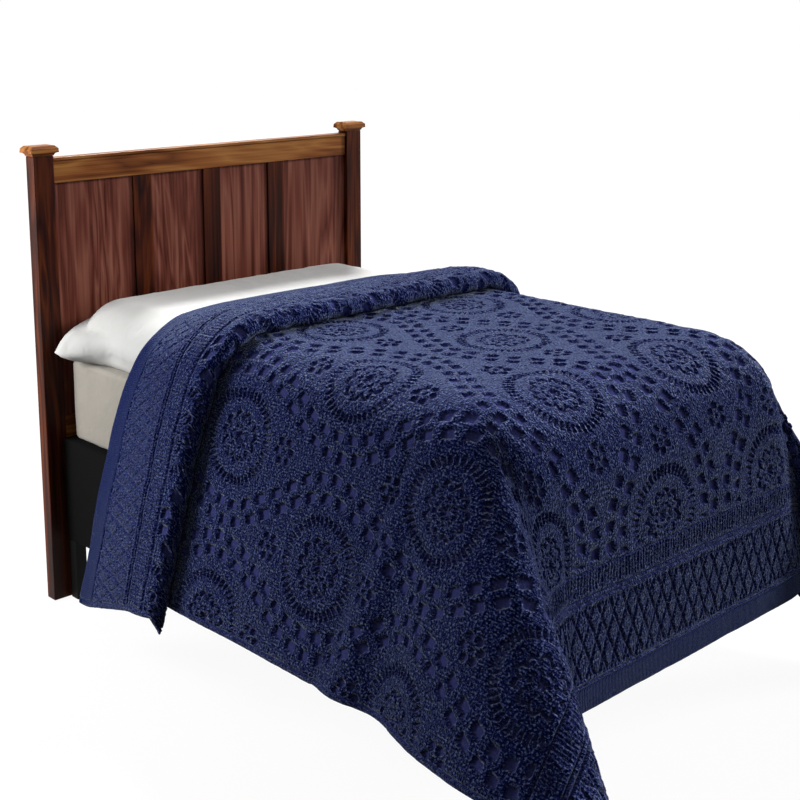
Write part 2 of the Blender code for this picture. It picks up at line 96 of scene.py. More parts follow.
LEFT_FOLDS = (
    Fold("side", -16.0, 0.252, -0.276),
    Fold("ridge", -9.0, 0.300, -0.165),
    Fold("hollow", -2.0, 0.262, -0.055),
    Fold("flank", 13.0, 0.370, 0.190),
    Fold("belly", 31.0, 0.405, 0.490),
    Fold("shoulder", 40.0, 0.330, 0.600),
    Fold("crest", 46.0, 0.240, 0.620),
    Fold("turn", 54.0, 0.150, 0.530),
    Fold("back", 68.0, 0.070, 0.330),
    Fold("tuck", 82.0, -0.020, 0.120),
    Fold("foot", 95.0, -0.087, 0.030),
)
RIGHT_FOLDS = (
    Fold("side", -18.0, 0.249, -0.309),
    Fold("side_flank", -6.0, 0.390, -0.140),
    Fold("side_crest", 7.0, 0.520, 0.020),
    Fold("side_turn", 17.0, 0.385, 0.120),
    Fold("valley", 27.0, 0.225, 0.160),
    Fold("back", 36.0, 0.270, 0.310),
    Fold("crest", 44.0, 0.380, 0.380),
    Fold("brow", 52.0, 0.475, 0.290),
    Fold("flank", 60.0, 0.440, 0.160),
    Fold("tuck", 68.0, 0.320, 0.070),
    Fold("foot", 76.0, 0.242, 0.029),
)
FOLD_BLEND = 4.0

# ---------------------------------------------------------------- sizes of the looks

PILE = 0.0074  # how far the tufts stand over the bare ground
PILE_BACK = 0.0020  # the ground lies this far behind the cloth's middle surface
CELL = 0.0043  # grid of the cloth where it is seen
HEAD_CELL = 0.00455  # across the head portion, which is the widest and longest
FINE_CELL = 0.0033  # at the foot, where the border needs it
COARSE_CELL = 0.0058  # on the side away from the camera
HIDDEN_CELL = 0.012  # inside the fold
HEM_TURN = 0.0032  # radius of a hem's rounded edge
HEM_RETURN = 0.014  # how far a hem leads back under the cloth
HEM_ROWS = 6  # grid rows in a turned hem

MEDALLION_ACROSS = 0.50  # medallions repeat at this pitch across the cloth
MEDALLION_ALONG = 0.395  # and each next row, shifted by half of it, lies this far on
MEDALLION_U = -0.27
MEDALLION_V = 1.1826  # a row of medallions, from the head hem along the cloth
DASHES = 46
DASH_RING = 0.118
PETALS = 11
SPRIG_FROM_MEDALLION = 0.192
SPRIG_RING = 0.028
SPRIG_DOT = 0.0095
SQUARE_PITCH = 0.054
SQUARE_HALF = 0.0138

HEM_BAND = 0.068
LATTICE_BAND = 0.212
LADDER_BAND = 0.084
BORDER = HEM_BAND + LATTICE_BAND + LADDER_BAND
LADDER_MARGIN = 0.017  # from the lattice to the ladder's rungs
LADDER_MIDDLE = LADDER_MARGIN + 0.034
HEAD_BORDER_SCALE = 1.12  # the head's border is this much wider than the foot's
ROW_PITCH = 0.0085
HEM_RIB = 0.0058
LADDER_RUNG = 0.0116

LOZENGE_WIDE = 0.048
LOZENGE_LONG = 0.104
LOZENGE_TICK = 0.012

TOPPER_SHOWN_FROM = -0.62  # the topper's creases begin here and are full a little nearer the head
TOPPER_SHOWN_EASE = 0.25
RIM_CELL = 0.02
MATTRESS_CELL = 0.03

FLOOR_HALF = 14.0
FLOOR_BELOW = 0.0005
FLOOR_TONE = 0.08
FLOOR_GLOW = 0.94

Sun = namedtuple("Sun", "name towards strength angle")
Stain = namedtuple("Stain", "dark mid light")

SUNS = (
    Sun("key", (0.45, 0.50, 0.70), 5.4, 12),
    Sun("overhead", (0.0, 0.0, 1.0), 0.6, 170),
    Sun("right_fill", (0.92, -0.34, 0.34), 2.8, 12),
    Sun("front_fill", (0.60, -0.75, 0.35), 0.35, 40),
)
SOFTBOX_PLACE = (-2.0, 0.6, 0.6)  # from the head of the mattress's top, in its middle
SOFTBOX_TARGET = (-0.7, -0.4, -0.1)
SOFTBOX_POWER = 46
SOFTBOX_SIZE = 0.9

# The posts' and muntins' stain is far darker than the rail's: partly the wood's own darker tone,
# partly painted shade.
POST_STAIN_WITH_PAINTED_SHADE = Stain((0.005, 0.0005, 0.0003), (0.058, 0.008, 0.0010), (0.170, 0.034, 0.0045))
RAIL_STAIN = Stain((0.060, 0.010, 0.002), (0.340, 0.110, 0.024), (0.640, 0.290, 0.075))
PANEL_STAIN = Stain((0.060, 0.010, 0.006), (0.200, 0.055, 0.034), (0.360, 0.140, 0.090))
LEG_PAINT = Stain((0.004, 0.004, 0.004), (0.008, 0.008, 0.008), (0.014, 0.014, 0.014))
WOOD_GLOSS = 0.42  # roughness of the satin stain
PAINT_GLOSS = 0.6

TOPPER_COTTON = ((0.62, 0.62, 0.61), (0.54, 0.54, 0.52))
MATTRESS_COTTON = ((0.36, 0.33, 0.29), (0.30, 0.28, 0.24))

CAMERA_PLACE = (-2.820, -3.871, 1.922)
CAMERA_HEADING = math.radians(43.73)
CAMERA_LENS = 62.7
CAMERA_SHIFT = -0.16
CAMERA_PITCH = math.radians(10.92)

# ---------------------------------------------------------------- places in the frame

low, high = (Vector(corner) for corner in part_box("mattress"))
BED_X = (low.x + high.x) / 2
BED_Y = high.y + HEAD_CLEARANCE
MATTRESS_LOW, MATTRESS_HIGH = low.z, high.z
MATTRESS_LENGTH = high.y - low.y


def in_frame(points):
    return points + np.array([BED_X, BED_Y, 0.0])


# ---------------------------------------------------------------- the draped cloth, as in the CAD


def pleat_runs():
    """The cloth's path along the bed, from its head hem, as straight runs and arcs."""
    lift = math.radians(LIFT_ANGLE)
    arc_rise = LIFT_RUN * (1 - math.cos(lift)) / lift
    ramp = (2 * ROLL_RADIUS + 2 * TUCK_RADIUS - 2 * arc_rise) / math.sin(lift)
    arc_run = LIFT_RUN * math.sin(lift) / lift
    crown = ROLL_FROM_HEM - HEM_RUN - 2 * arc_run - ramp * math.cos(lift) - ROLL_RADIUS
    return (
        Run("hem", HEM_RUN, 0),
        Run("lift", LIFT_RUN, LIFT_ANGLE),
        Run("ramp", ramp, 0),
        Run("ease", LIFT_RUN, -LIFT_ANGLE),
        Run("crown", crown, 0),
        Run("roll", math.pi * ROLL_RADIUS, -180),
        Run("under", UNDER_RUN, 0),
        Run("tuck", math.pi * TUCK_RADIUS, 180),
        Run("field", SPREAD_LENGTH, 0),
    )


def pleat_profile(along):
    forward = np.zeros_like(along)
    lift = np.zeros_like(along)
    start, heading = 0.0, 0.0
    for run in pleat_runs():
        reach = np.clip(along - start, 0, run.length)
        if run.turn:
            bend = math.radians(run.turn) / run.length
            forward += (np.sin(heading + bend * reach) - math.sin(heading)) / bend
            lift += (math.cos(heading) - np.cos(heading + bend * reach)) / bend
        else:
            forward += reach * math.cos(heading)
            lift += reach * math.sin(heading)
        start += run.length
        heading += math.radians(run.turn)
    return forward, lift


def run_start(name):
    start = 0.0
    for run in pleat_runs():
        if run.name == name:
            return start
        start += run.length
    raise ValueError(name)


def foot_start():
    length = run_start("field")
    forward, _ = pleat_profile(np.array([length]))
    return length + FOOT_EDGE - HEM_FROM_HEAD - float(forward[0])


def smooth(value):
    value = np.clip(value, 0, 1)
    return value * value * (3 - 2 * value)


def fall_direction(side_lean, foot_lean):
    down = np.sqrt(np.clip(1 - side_lean**2 - foot_lean**2, 0.05, None))
    return np.stack([side_lean, foot_lean, -down], -1)


def fold_direction(folds, angle):
    angles = np.array([fold.angle for fold in folds])
    leans = np.array([(fold.side_lean, fold.foot_lean) for fold in folds])
    slopes = np.gradient(leans, angles, axis=0)
    angle = np.clip(angle, angles[0], angles[-1])
    row = np.clip(np.searchsorted(angles, angle, side="right") - 1, 0, len(angles) - 2)
    span = (angles[row + 1] - angles[row])[..., None]
    part = (angle[..., None] - angles[row][..., None]) / span
    lean = (
        (2 * part**3 - 3 * part**2 + 1) * leans[row]
        + (part**3 - 2 * part**2 + part) * span * slopes[row]
        + (3 * part**2 - 2 * part**3) * leans[row + 1]
        + (part**3 - part**2) * span * slopes[row + 1]
    )
    return fall_direction(lean[..., 0], lean[..., 1])


def edge_path(distance, radius, out, fall):
    turn = np.arccos(np.clip(np.sum(out * fall, -1), -1, 1))
    across = (fall - out * np.cos(turn)[..., None]) / np.sin(turn)[..., None]
    bent = np.minimum(distance / radius, turn)
    path = (radius * np.sin(bent))[..., None] * out
    path = path + (radius * (1 - np.cos(bent)))[..., None] * across
    hanging = np.maximum(distance - radius * turn, 0)
    return path + hanging[..., None] * fall


def drape(across, along):
    """Where each point of the flat cloth lies on the bed."""
    across, along = np.broadcast_arrays(np.asarray(across, float), np.asarray(along, float))
    forward, lift = pleat_profile(along)
    pleated = 1 - smooth((along - ROLL_FROM_HEM) / UNDER_RUN)
    across = across - HEAD_SHIFT * (1 - smooth((along - SHIFT_KEPT) / SHIFT_EASE))
    hand = np.where(across < 0, -1.0, 1.0)
    edge = FLAT_HALF + SIDE_RADIUS / 2
    bow = HEM_DIP * np.exp(-(((np.abs(across) - edge) / 0.14) ** 2))
    forward = forward + bow * (1 - smooth(along / 0.3))
    forward = forward - SIDE_DRIFT * smooth((np.abs(across) - edge) / 0.4) * pleated
    beyond_side = np.abs(across) - FLAT_HALF
    beyond_foot = along - foot_start()
    angle = np.degrees(np.arctan2(beyond_foot, beyond_side))
    zero = np.zeros_like(along)
    to_side = np.stack([zero + 1, zero, zero], -1)
    to_foot = np.stack([zero, zero + 1, zero], -1)
    height = TOP_HEIGHT + lift

    side = edge_path(
        np.maximum(beyond_side, 0),
        SIDE_RADIUS + lift,
        to_side,
        fall_direction(zero + SIDE_LEAN, zero),
    )
    side[..., 0] += np.minimum(np.abs(across), FLAT_HALF)
    side[..., 1] += HEM_FROM_HEAD + forward
    foot = edge_path(
        np.maximum(beyond_foot, 0),
        zero + FOOT_RADIUS,
        to_foot,
        fall_direction(zero, zero + FOOT_LEAN),
    )
    foot[..., 0] += np.abs(across)
    foot[..., 1] += FOOT_EDGE

    turned = np.radians(angle)
    reach = np.hypot(beyond_side, beyond_foot)
    radius = SIDE_RADIUS * np.cos(turned) ** 2 + FOOT_RADIUS * np.sin(turned) ** 2
    out = np.stack([np.cos(turned), np.sin(turned), zero], -1)
    draped = np.where((beyond_foot > 0)[..., None], foot, side)
    for folds, sign in ((LEFT_FOLDS, -1), (RIGHT_FOLDS, 1)):
        corner = edge_path(reach, radius, out, fold_direction(folds, angle))
        corner[..., 0] += FLAT_HALF
        corner[..., 1] += FOOT_EDGE
        first, last = folds[0].angle, folds[-1].angle
        share = smooth((angle - first) / (2 * FOLD_BLEND) + 0.5)
        share = share * smooth((last - angle) / (2 * FOLD_BLEND) + 0.5)
        share = np.where(hand == sign, share, 0)[..., None]
        strip = np.where((angle > 45)[..., None], foot, side)
        draped = np.where(share > 0, strip * (1 - share) + corner * share, draped)
    draped[..., 0] *= hand
    draped[..., 1] *= -1
    draped[..., 2] += height
    return draped


# ---------------------------------------------------------------- the tufted pattern


def noise(u, v, cell, seed):
    """Smooth random values from -1 to 1, one wave to about two cells."""
    u, v = np.asarray(u) / cell, np.asarray(v) / cell
    u0, v0 = np.floor(u).astype(int), np.floor(v).astype(int)
    fu, fv = smooth(u - u0), smooth(v - v0)
    size = 512
    values = np.random.default_rng(seed).uniform(-1, 1, (size, size))

    def corner(i, j):
        return values[(u0 + i) % size, (v0 + j) % size]

    low_row = corner(0, 0) * (1 - fu) + corner(1, 0) * fu
    high_row = corner(0, 1) * (1 - fu) + corner(1, 1) * fu
    return low_row * (1 - fv) + high_row * fv


def within(distance, half, soft=0.0028):
    """1 inside a mark and 0 outside it, with a soft edge."""
    return 1 - smooth((distance - half) / soft + 0.5)


def wrap(value, period):
    return (value + period / 2) % period - period / 2


def medallion(du, dv):
    """A star, a ring of scallops and a ring of short dashes."""
    reach = np.hypot(du, dv)
    angle = np.arctan2(dv, du)
    star = within(reach, 0.012 + 0.006 * np.cos(8 * angle))
    scallop = 0.047 + 0.021 * np.abs(np.sin(PETALS * angle / 2)) ** 0.8
    petals = within(np.abs(reach - scallop), 0.0042)
    inner = within(np.abs(reach - 0.031), 0.0035) * (np.cos(PETALS * angle) > -0.2)
    turn = wrap(angle, 2 * math.pi / DASHES) * reach
    dashes = within(np.abs(turn), 0.0030, 0.003) * within(np.abs(reach - DASH_RING), 0.0125)
    return np.maximum.reduce([star, petals, 0.7 * inner, dashes])


def sprig(du, dv):
    """A small flower: a ring of six dots."""
    marks = np.zeros_like(du)
    for petal in range(6):
        angle = (petal + 0.5) * math.pi / 3
        spot = np.hypot(du - SPRIG_RING * math.cos(angle), dv - SPRIG_RING * math.sin(angle))
        marks = np.maximum(marks, within(spot, SPRIG_DOT))
    return np.maximum(marks, within(np.hypot(du, dv), 0.005))


def squares(u, v):
    """Wavy rows of squares that part round each medallion and meet between them."""
    marks = np.zeros_like(u)
    part = 0.5 - 0.5 * np.cos(math.pi * v / MEDALLION_ALONG)
    half = SQUARE_HALF + 0.0016 * noise(u, v, 0.030, 16)
    rows = ((0.022, 0.172, 0.0), (0.068, 0.222, 0.5))
    for near, far, stagger in rows:
        centre = near + (far - near) * part
        step = wrap(v - stagger * SQUARE_PITCH, SQUARE_PITCH)
        steepest = (far - near) * math.pi / (2 * MEDALLION_ALONG)
        slope = steepest * np.sin(math.pi * v / MEDALLION_ALONG)
        for side in (-1, 1):
            offset = wrap(u - MEDALLION_ACROSS / 2 - side * centre, MEDALLION_ACROSS)
            lean = step + offset * side * slope * 0.6
            square = within(np.maximum(np.abs(offset), np.abs(lean)), half, 0.0034)
            marks = np.maximum(marks, square)
    return marks


def field_ground(across, along):
    """How bare the cloth is, from 0 in full pile to 1 on bare ground, away from the borders."""
    ragged = 0.0016 * noise(across, along, 0.009, 17)
    u = across - MEDALLION_U + 0.005 * noise(across, along, 0.10, 3) + ragged
    v = along - MEDALLION_V + 0.005 * noise(across, along, 0.10, 4) - ragged
    marks = squares(u, v)
    for shift in (0, 1):
        du = wrap(u - shift * MEDALLION_ACROSS / 2, MEDALLION_ACROSS)
        dv = wrap(v - shift * MEDALLION_ALONG, 2 * MEDALLION_ALONG)
        marks = np.maximum(marks, medallion(du, dv))
        marks = np.maximum(marks, sprig(du, np.abs(dv) - SPRIG_FROM_MEDALLION))
    return marks


def border_ground(across, inwards):
    """Bare ground of the border at an end hem, which lies this far inwards of the hem."""
    u = across + 0.0022 * noise(across, inwards, 0.05, 5)
    groove = within(np.abs(np.abs(inwards - HEM_BAND) - 0.0055), 0.0017)
    lattice_end = HEM_BAND + LATTICE_BAND
    from_middle = inwards - HEM_BAND - LATTICE_BAND / 2
    climb = from_middle / LOZENGE_LONG
    slants = [np.abs(wrap(u / LOZENGE_WIDE + way * climb, 1.0)) for way in (-1, 1)]
    wide = 0.0030 + 0.0008 * noise(across, inwards, 0.012, 9)
    lines = within(np.minimum(*slants) * LOZENGE_WIDE, wide, 0.0065)
    lines = lines * within(np.abs(from_middle), LATTICE_BAND / 2 - 0.016, 0.008)
    ticks = within(np.abs(wrap(u, LOZENGE_TICK)), 0.0016, 0.003)
    ticks = ticks * within(np.abs(np.abs(from_middle) - LATTICE_BAND / 2 + 0.020), 0.008, 0.008)
    marks = np.maximum.reduce([groove, 0.72 * lines, 0.4 * ticks])
    line = within(np.abs(inwards - lattice_end + 0.002), 0.0024)
    line = np.maximum(line, within(np.abs(inwards - lattice_end - 0.012), 0.0020))
    ladder = inwards - lattice_end - LADDER_MIDDLE
    rung = within(np.abs(wrap(u, LADDER_RUNG)), 0.0020, 0.003)
    rung = rung * within(np.abs(ladder), 0.026, 0.006)
    cord = within(np.abs(inwards - BORDER + 0.006), 0.0022)
    return np.maximum.reduce([marks, line, 0.35 * rung, cord])


def ground(across, along):
    """Bare ground over the whole cloth."""
    border = BORDER + 0.008
    from_foot = SPREAD_LENGTH - along
    from_head = along / HEAD_BORDER_SCALE
    marks = field_ground(across, along)
    marks = np.where(from_foot < border, border_ground(across, from_foot), marks)
    marks = np.where(from_head < border, border_ground(across, from_head), marks)
    from_side = SPREAD_WIDTH / 2 - np.abs(across)
    edge = np.maximum(within(np.abs(from_side - 0.013), 0.0015), within(from_side, 0.006) * 0.35)
    return np.where(from_side < 0.016, edge, marks)


def trims(across, along):
    """How much of the hem's ribs, of the ladder's rungs and of the border is at each point."""
    from_end = np.minimum(SPREAD_LENGTH - along, along / HEAD_BORDER_SCALE)
    hem = within(from_end, HEM_BAND - 0.002, 0.004)
    middle = HEM_BAND + LATTICE_BAND + LADDER_MIDDLE
    rungs = within(np.abs(from_end - middle), 0.028, 0.008)
    border = within(from_end, BORDER + 0.004, 0.004)
    return hem, rungs, border


def pile_height(across, along, marks):
    """Height of the visible surface over the cloth's middle surface."""
    hem = trims(across, along)[0]
    clumps = 0.0014 * noise(across, along, 0.0100, 6) + 0.0010 * noise(across, along, 0.022, 7)
    full = PILE * (1 - 0.40 * hem) + clumps * (1 - 0.85 * hem)
    puff = 0.0010 * noise(across, along, 0.055, 8) * (1 - hem)
    return (full + puff) * (1 - 0.94 * marks) - PILE_BACK


# ---------------------------------------------------------------- cloth meshes


def sway(across, along, normals):
    """Soft unevenness of the hanging cloth, as an offset along its normal."""
    beyond = np.maximum(np.abs(across) - FLAT_HALF, along - foot_start())
    hanging = smooth(beyond / 0.5)
    waves = 0.0030 * noise(across, along, 0.16, 11) + 0.0014 * noise(across, along, 0.07, 12)
    flat = 0.0016 * noise(across, along, 0.13, 13)
    under = smooth((along - run_start("under")) / 0.02)
    under = under * smooth((run_start("field") + 0.03 - along) / 0.02)
    roll = smooth((along - run_start("crown")) / 0.05) * (1 - under)
    roll = roll * (along < run_start("under") + 0.02)
    pinch = noise(across, along * 0.25, 0.022, 14) + 0.7 * noise(across, along * 0.3, 0.045, 15)
    return (waves * hanging + flat * (1 - hanging)) * (1 - under) + 0.0022 * pinch * roll


def normals_of(points):
    along_grid = np.gradient(points, axis=0)
    across_grid = np.gradient(points, axis=1)
    normal = np.cross(along_grid, across_grid)
    return normal / np.maximum(np.linalg.norm(normal, axis=-1), 1e-12)[..., None]


def turned_hem(points, facts, axis, at_end):
    """Adds rows past one side of the grid that round the hem over and lead back under it."""
    points, facts = np.moveaxis(points, axis, 0), np.moveaxis(facts, axis, 0)
    if not at_end:
        points, facts = points[::-1], facts[::-1]
    out = points[-1] - points[-3]
    out /= np.linalg.norm(out, axis=-1)[..., None]
    side = np.gradient(points[-1], axis=0)
    inward = np.cross(out, side)
    if axis == 1:
        inward = -inward
    if at_end:
        inward = -inward
    inward /= np.linalg.norm(inward, axis=-1)[..., None]
    rows = []
    for step in range(1, HEM_ROWS - 1):
        bend = step / (HEM_ROWS - 2) * math.pi
        rows.append(points[-1] + HEM_TURN * (math.sin(bend) * out + (1 - math.cos(bend)) * inward))
    for back in (0.5, 1.0):
        rows.append(points[-1] + 2 * HEM_TURN * inward - back * HEM_RETURN * out)
    points = np.concatenate([points, np.stack(rows)])
    facts = np.concatenate([facts, np.stack([facts[-1]] * len(rows))])
    if not at_end:
        points, facts = points[::-1], facts[::-1]
    return np.moveaxis(points, 0, axis), np.moveaxis(facts, 0, axis)


def grid_mesh(name, points, normals, facts, finish):
    """A mesh from a grid of points, with its own smooth normals and the cloth's facts on it."""
    rows, columns = points.shape[:2]
    index = np.arange(rows * columns).reshape(rows, columns)
    corners = [index[:-1, :-1], index[1:, :-1], index[1:, 1:], index[:-1, 1:]]
    quads = np.stack(corners, -1).reshape(-1, 4)
    mesh = bpy.data.meshes.new(name)
    mesh.vertices.add(rows * columns)
    mesh.vertices.foreach_set("co", in_frame(points).astype(np.float32).ravel())
    mesh.loops.add(quads.size)
    mesh.loops.foreach_set("vertex_index", quads.astype(np.int32).ravel())
    mesh.polygons.add(len(quads))
    mesh.polygons.foreach_set("loop_start", np.arange(0, quads.size, 4, dtype=np.int32))
    mesh.update(calc_edges=True)
    mesh.shade_smooth()
    trim = np.stack(trims(facts[..., 0], facts[..., 1]), -1)
    for title, values in (("cloth", facts), ("trim", trim)):
        attribute = mesh.attributes.new(title, "FLOAT_VECTOR", "POINT")
        attribute.data.foreach_set("vector", values.astype(np.float32).ravel())
    mesh.normals_split_custom_set_from_vertices(normals.reshape(-1, 3).tolist())
    mesh.materials.append(finish)
    piece = bpy.data.objects.new(name, mesh)
    bpy.context.scene.collection.objects.link(piece)
    return piece


def stretch(start, end, cell):
    steps = max(1, round(abs(end - start) / cell))
    return np.linspace(start, end, steps + 1)[:-1]


def cloth_surface(across, along):
    """The relief of the cloth over a grid: its points, and (u, v, bareness) at each."""
    v, u = np.meshgrid(along, across, indexing="ij")
    middle = drape(u, v)
    normals = normals_of(middle)
    marks = ground(u, v)
    height = pile_height(u, v, marks) + sway(u, v, normals)
    points = middle + normals * height[..., None]
    return points, np.stack([u, v, marks], -1)


def declare_cloth(piece):
    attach(piece, "root")
    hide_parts("bedspread")


def make_bedspread(finish):
    """One cloth, in five joined lengths so that each keeps its full relief."""
    half = SPREAD_WIDTH / 2
    under, field = run_start("under"), run_start("field")
    border = SPREAD_LENGTH - BORDER - 0.004

    def add(name, points, normals, facts):
        declare_cloth(grid_mesh(name, points, normals, facts, finish))

    along = np.concatenate(
        [stretch(0, under + 0.02, CELL), stretch(under + 0.02, field, HIDDEN_CELL), [field]]
    )
    across = np.append(stretch(-half, half, HEAD_CELL), half)
    points, facts = cloth_surface(across, along)
    for axis, at_end in ((1, False), (1, True), (0, False)):
        points, facts = turned_hem(points, facts, axis, at_end)
    add("bedspread_head", points, normals_of(points), facts)

    along = np.append(stretch(field, border, CELL), border)
    along = np.append(along, border + CELL)
    left = stretch(-half, -FLAT_HALF, CELL)
    middle = stretch(-FLAT_HALF, FLAT_HALF, CELL)
    right = np.append(stretch(FLAT_HALF, half, COARSE_CELL), half)
    points, facts = cloth_surface(np.concatenate([left, middle, right]), along)
    for at_end in (False, True):
        points, facts = turned_hem(points, facts, 1, at_end)
    normals = normals_of(points)[:-1]
    points, facts = points[:-1], facts[:-1]
    first = points.shape[1] - len(right) - HEM_ROWS
    seams = (0, first - len(middle), first, points.shape[1] - 1)
    widths = (half - FLAT_HALF, 2 * FLAT_HALF, half - FLAT_HALF)
    for name, start, end, width in zip(("left", "middle", "right"), seams, seams[1:], widths):
        part = slice(start, end + 1)
        add(
            "bedspread_" + name,
            points[:, part],
            normals[:, part],
            facts[:, part],
        )

    along = np.append(stretch(border, SPREAD_LENGTH, FINE_CELL), SPREAD_LENGTH)
    along = np.insert(along, 0, border - FINE_CELL)
    across = np.append(stretch(-half, half, FINE_CELL), half)
    points, facts = cloth_surface(across, along)
    for axis, at_end in ((1, False), (1, True), (0, True)):
        points, facts = turned_hem(points, facts, axis, at_end)
    normals = normals_of(points)[1:]
    add("bedspread_foot", points[1:], normals, facts[1:])


# ---------------------------------------------------------------- bedding under the cloth


def topper_rim_path(beyond_x, beyond_y, radius_x, radius_y):
    share = max(beyond_x, beyond_y)
    if share == 0:
        return 0.0, 0.0, 0.0
    angle = math.atan2(beyond_y, beyond_x)
    radius = radius_x * math.cos(angle) ** 2 + radius_y * math.sin(angle) ** 2
    bend = share * TOPPER_WRAP
    return (
        radius_x * math.cos(angle) * math.sin(bend),
        radius_y * math.sin(angle) * math.sin(bend),
        -radius * (1 - math.cos(bend)),
    )


def make_topper(finish):
    """The padded layer, drawn in at its seam, with its head corners pinched out and creased."""
    shrink = CLOTH_THICK / 2 + TOPPER_CLEARANCE
    top = TOP_HEIGHT - shrink - 0.0006
    bottom = MATTRESS_HIGH + 0.0004
    half = FLAT_HALF - TOPPER_EDGE_INSET
    foot_y = -FOOT_EDGE + TOPPER_EDGE_INSET
    head_y = -HEAD_CLEARANCE - TOPPER_HEAD_RADIUS
    radius_x = SIDE_RADIUS - shrink
    border = 14
    shares = [step / border for step in range(border, 0, -1)]
    columns = [(-half, share) for share in shares]
    columns += [(x, 0.0) for x in np.linspace(-half, half, 31)]
    columns += [(half, share) for share in reversed(shares)]
    rows = [(head_y, share, TOPPER_HEAD_RADIUS) for share in shares]
    rows += [(y, 0.0, FOOT_RADIUS - shrink) for y in np.linspace(head_y, foot_y, 61)]
    rows += [(foot_y, share, FOOT_RADIUS - shrink) for share in reversed(shares)]
    upper = np.zeros((len(rows), len(columns), 3))
    for i, (y, share_y, radius_y) in enumerate(rows):
        towards = 1 if y == head_y and share_y else -1
        for j, (x, share_x) in enumerate(columns):
            dx, dy, dz = topper_rim_path(share_x, share_y, radius_x, radius_y)
            upper[i, j] = (x + math.copysign(dx, x), y + towards * dy, top + dz)
    crease = noise(upper[..., 0], upper[..., 1] * 0.4, 0.05, 21) * 0.0022
    crease = 0.002 + np.abs(crease) + 0.0012 * noise(upper[..., 0], upper[..., 1], 0.02, 22)
    upper[..., 2] -= shown_at(upper[..., 1]) * crease

    wide, long = len(columns), len(rows)
    rim = [(0, j) for j in range(wide)]
    rim += [(i, wide - 1) for i in range(1, long)]
    rim += [(long - 1, j) for j in range(wide - 2, -1, -1)]
    rim += [(i, 0) for i in range(long - 2, 0, -1)]
    centre_y = (head_y + foot_y) / 2
    corner = np.abs(upper[0, 0, :2])
    edge = np.array([upper[i, j] for i, j in rim])
    away = np.zeros((len(rim), 2))
    poke = np.zeros(len(rim))
    for n, (x, y, _) in enumerate(edge):
        if abs(y - centre_y) > 0.75:
            way = np.array([math.copysign(min(abs(x), 0.5), x) * 1.2, y - centre_y])
            away[n] = way / np.linalg.norm(way)
        else:
            away[n] = (np.sign(x), 0)
        if y > centre_y:
            near = math.hypot(abs(x) - corner[0], y + corner[1]) / TOPPER_EAR_REACH
            poke[n] = TOPPER_EAR * float(smooth(1 - near))
    sign = np.sign(edge[:, 0])
    seam = edge.copy()
    seam[:, :2] += away * TOPPER_SEAM_BULGE
    seam[:, 0] += sign * poke
    seam[:, 2] = bottom + TOPPER_SEAM_RISE
    along_rim = np.arange(len(rim)) * RIM_CELL
    loops = []
    for part in np.linspace(0, 1, 7)[1:]:
        level = edge * (1 - part) + seam * part
        swell = math.sin(math.pi * part) * (0.010 + 0.10 * poke)
        level[:, :2] += away * swell[:, None]
        level[:, 2] += swell * 0.6 * (1 - 2 * part) + 0.05 * poke * math.sin(math.pi * part)
        gather = 0.0035 * noise(along_rim, along_rim * 0, 0.05, 23) * part * shown_at(edge[:, 1])
        level[:, :2] += away * gather[:, None]
        loops.append(level)
    for part in (0.25, 0.5, 0.75, 1.0):
        level = seam.copy()
        level[:, 0] -= sign * poke * (0.3 * part + 0.7 * part**2)
        level[:, :2] -= away * (0.024 * part**1.5)
        level[:, 2] = bottom + TOPPER_SEAM_RISE * (1 - part) ** 1.4
        loops.append(level)
    points = [tuple(p) for p in upper.reshape(-1, 3)]
    faces = []
    for i in range(long - 1):
        for j in range(wide - 1):
            a = i * wide + j
            faces.append((a, a + wide, a + wide + 1, a + 1))
    above = [i * wide + j for i, j in rim]
    for level in loops:
        below = list(range(len(points), len(points) + len(rim)))
        points += [tuple(p) for p in level]
        for n in range(len(rim)):
            after = (n + 1) % len(rim)
            faces.append((above[n], above[after], below[after], below[n]))
        above = below
    faces.append(tuple(above))
    piece = mesh_piece("topper_pad", points, faces, finish)
    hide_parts("topper")


def shown_at(y):
    """How much of the topper's creases shows this far from the head, from 0 to 1."""
    return smooth((y - TOPPER_SHOWN_FROM) / TOPPER_SHOWN_EASE)


def mesh_piece(name, points, faces, finish, smooth_angle=None):
    mesh = bpy.data.meshes.new(name)
    placed = in_frame(np.array(points, float))
    mesh.from_pydata([tuple(p) for p in placed.tolist()], [], faces)
    mesh.materials.append(finish)
    mesh.shade_smooth()
    if smooth_angle:
        mesh.set_sharp_from_angle(angle=math.radians(smooth_angle))
    mesh.update()
    piece = bpy.data.objects.new(name, mesh)
    bpy.context.scene.collection.objects.link(piece)
    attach(piece, "root")
    return piece


